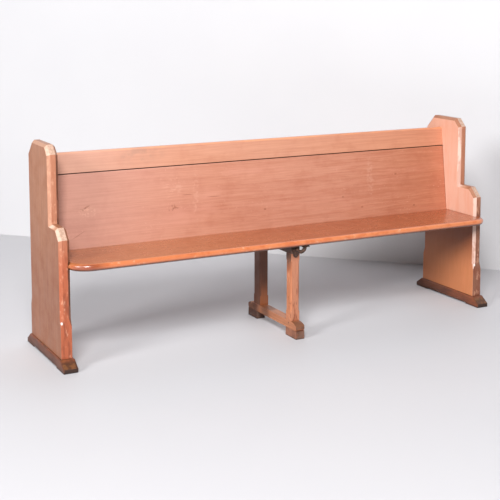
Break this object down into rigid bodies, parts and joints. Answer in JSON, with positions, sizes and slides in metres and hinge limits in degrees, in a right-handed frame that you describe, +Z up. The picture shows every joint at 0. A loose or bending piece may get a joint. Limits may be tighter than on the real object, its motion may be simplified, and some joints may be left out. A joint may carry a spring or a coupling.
{
  "type": "church pew",
  "caption": "Long wooden church pew with shouldered plank ends on sledge feet, a leaning back, a bull-nosed seat and a centre trestle.",
  "frame": {"origin": "on the floor under the middle of the pew", "axes": "+X along the pew to the right of someone facing its front, +Y from front to back, +Z up"},
  "size_m": [2.177, 0.542, 0.915],
  "materials": {
    "end_pine": "worn varnish",
    "panel_pine": "worn varnish",
    "rail_pine": "worn varnish",
    "seat_pine": "worn varnish",
    "trestle_pine": "worn varnish",
    "dark_pine": "worn varnish",
    "iron": "dull"
  },
  "bodies": {
    "root": {"left_end": "end_pine", "right_end": "end_pine", "back_panel": "panel_pine", "top_rail": "rail_pine", "seat_board": "seat_pine", "trestle_base": "trestle_pine", "front_post": "trestle_pine", "rear_post": "trestle_pine", "left_foot": "dark_pine", "right_foot": "dark_pine", "left_seat_cleat": "dark_pine", "right_seat_cleat": "dark_pine", "seat_bearer": "dark_pine", "front_pad": "dark_pine", "rear_pad": "dark_pine", "front_lower_peg": "dark_pine", "rear_lower_peg": "dark_pine", "front_upper_peg": "dark_pine", "rear_upper_peg": "dark_pine", "iron_stay": "iron", "left_cleat_screw_1": "iron", "left_cleat_screw_2": "iron", "left_cleat_screw_3": "iron", "right_cleat_screw_1": "iron", "right_cleat_screw_2": "iron", "right_cleat_screw_3": "iron", "left_foot_screw_1": "iron", "left_foot_screw_2": "iron", "right_foot_screw_1": "iron", "right_foot_screw_2": "iron", "back_screw_1": "iron", "back_screw_2": "iron", "back_screw_3": "iron", "back_screw_4": "iron", "back_screw_5": "iron", "front_pad_screw_1": "iron", "front_pad_screw_2": "iron", "rear_pad_screw_1": "iron", "rear_pad_screw_2": "iron", "bearer_screw_1": "iron", "bearer_screw_2": "iron", "stay_screw_1": "iron", "stay_screw_2": "iron", "stay_screw_3": "iron"}
  },
  "joints": []
}
